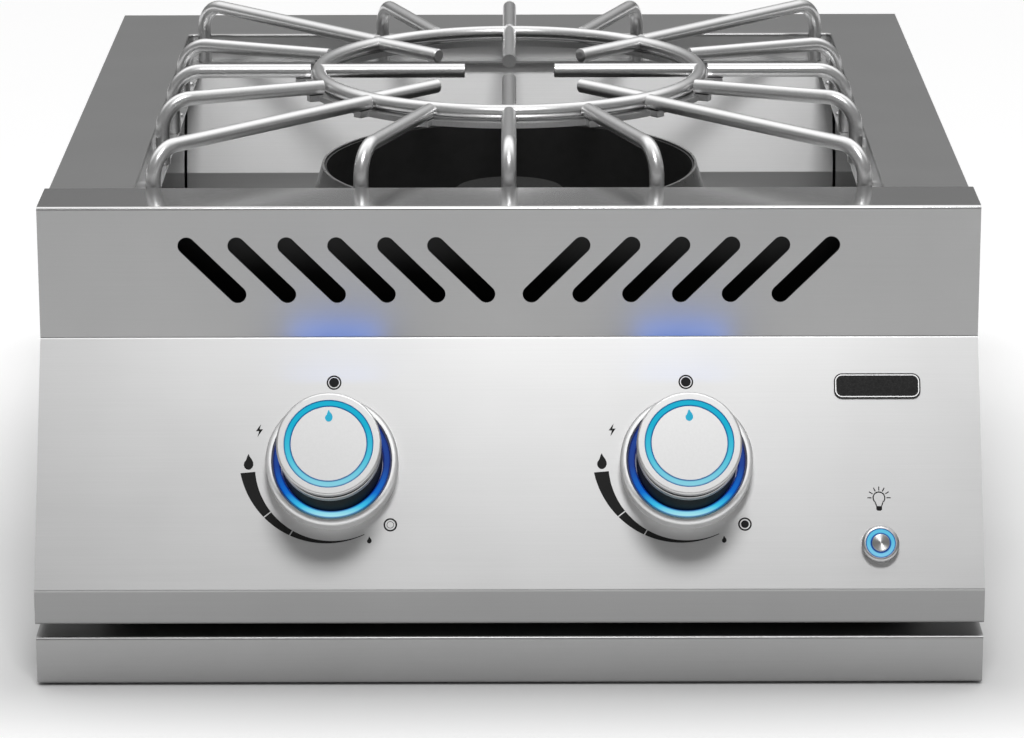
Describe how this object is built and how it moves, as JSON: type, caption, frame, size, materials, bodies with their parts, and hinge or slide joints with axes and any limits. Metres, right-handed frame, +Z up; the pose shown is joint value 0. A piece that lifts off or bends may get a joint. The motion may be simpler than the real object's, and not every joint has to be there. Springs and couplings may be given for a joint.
{
  "type": "side burner",
  "caption": "Drop-in steel gas burner with a rod grate over a black bowl, slotted fascia, sloped panel with lit push-and-turn knobs and a light button, and a pull-out drip tray.",
  "frame": {"origin": "on the underside of the base pan, straight below the burner axis", "axes": "+X to the right seen from the front, +Y to the back, +Z up"},
  "size_m": [0.457, 0.5623, 0.2446],
  "materials": {
    "stainless": "brushed",
    "rod_steel": "polished",
    "galvanised": "plain",
    "black_enamel": "satin",
    "cast_burner": "rough",
    "black_plastic": "satin",
    "satin_face": "brushed",
    "brass": "machined",
    "aluminium_pipe": "plain",
    "spring_steel": "drawn",
    "white_ceramic": "glazed",
    "grey_plastic": "matt",
    "lit_ring": "translucent"
  },
  "bodies": {
    "casing": {"back_heat_shield": "stainless", "back_panel": "galvanised", "back_panel_screws": "galvanised", "base_pan": "galvanised", "blank_badge": "black_plastic", "bowl_liner": "black_enamel", "burner_box_floor": "stainless", "burner_cone": "stainless", "button_bezel": "stainless", "button_light": "lit_ring", "button_nut": "spring_steel", "button_switch": "grey_plastic", "control_module": "grey_plastic", "control_panel": "stainless", "front_fascia": "stainless", "front_heat_shield": "stainless", "gas_inlet_fitting": "brass", "gas_manifold": "galvanised", "gas_supply_pipe": "aluminium_pipe", "igniter_ceramics": "white_ceramic", "igniter_electrodes": "spring_steel", "inner_burner": "cast_burner", "inner_gas_feed": "brass", "inner_venturi": "galvanised", "ledge_screws": "stainless", "left_bezel": "stainless", "left_bezel_light": "lit_ring", "left_return_spring": "spring_steel", "left_side_panel": "galvanised", "left_valve_body": "brass", "outer_gas_feed": "brass", "outer_ring_burner": "cast_burner", "outer_venturi": "galvanised", "power_inlet": "grey_plastic", "rear_posts": "stainless", "right_bezel": "stainless", "right_bezel_light": "lit_ring", "right_return_spring": "spring_steel", "right_side_panel": "galvanised", "right_valve_body": "brass", "top_deck": "stainless", "tray_runners": "galvanised"},
    "grate": {"grate_rods": "rod_steel", "grate_support": "rod_steel"},
    "ring": {"grate_ring": "rod_steel"},
    "tray": {"drip_tray": "stainless", "tray_front": "stainless"},
    "light_button": {"button_cap": "stainless"},
    "outer_shutter": {"outer_air_shutter": "galvanised"},
    "inner_shutter": {"inner_air_shutter": "galvanised"},
    "left_push": {"left_thrust_washer": "spring_steel"},
    "left_knob": {"left_valve_stem": "brass", "left_knob_body": "black_plastic", "left_knob_face": "satin_face", "left_knob_light": "lit_ring"},
    "right_push": {"right_thrust_washer": "spring_steel"},
    "right_knob": {"right_valve_stem": "brass", "right_knob_body": "black_plastic", "right_knob_face": "satin_face", "right_knob_light": "lit_ring"}
  },
  "joints": [
    {"name": "grate_lift", "type": "slide", "parent": "casing", "child": "grate", "axis": [0, 0, 1], "range_m": [0, 0.15]},
    {"name": "ring_lift", "type": "slide", "parent": "grate", "child": "ring", "axis": [0, 0, 1], "range_m": [0, 0.1]},
    {"name": "tray_pull", "type": "slide", "parent": "casing", "child": "tray", "axis": [0, -1, 0], "range_m": [0, 0.3]},
    {"name": "light_button_press", "type": "slide", "parent": "casing", "child": "light_button", "axis": [0, 0.866, -0.5], "range_m": [0, 0.002], "stiffness_N_per_m": 500, "springref_m": -0.004},
    {"name": "left_knob_push", "type": "slide", "parent": "casing", "child": "left_push", "axis": [0, 0.866, -0.5], "range_m": [0, 0.004], "stiffness_N_per_m": 1000, "springref_m": -0.004, "deforming": ["left_return_spring"]},
    {"name": "left_knob_turn", "type": "hinge", "parent": "left_push", "child": "left_knob", "pos_m": [-0.0855, -0.2636, 0.1024], "axis": [0, -0.866, 0.5], "range_deg": [0, 210]},
    {"name": "right_knob_push", "type": "slide", "parent": "casing", "child": "right_push", "axis": [0, 0.866, -0.5], "range_m": [0, 0.004], "stiffness_N_per_m": 1000, "springref_m": -0.004, "deforming": ["right_return_spring"]},
    {"name": "right_knob_turn", "type": "hinge", "parent": "right_push", "child": "right_knob", "pos_m": [0.0855, -0.2636, 0.1024], "axis": [0, -0.866, 0.5], "range_deg": [0, 210]},
    {"name": "outer_shutter_turn", "type": "hinge", "parent": "casing", "child": "outer_shutter", "pos_m": [-0.0855, -0.19617, 0.0704], "axis": [0, 1, 0], "range_deg": [0, 60]},
    {"name": "inner_shutter_turn", "type": "hinge", "parent": "casing", "child": "inner_shutter", "pos_m": [0.0855, -0.19617, 0.0704], "axis": [0, 1, 0], "range_deg": [0, 60]}
  ]
}
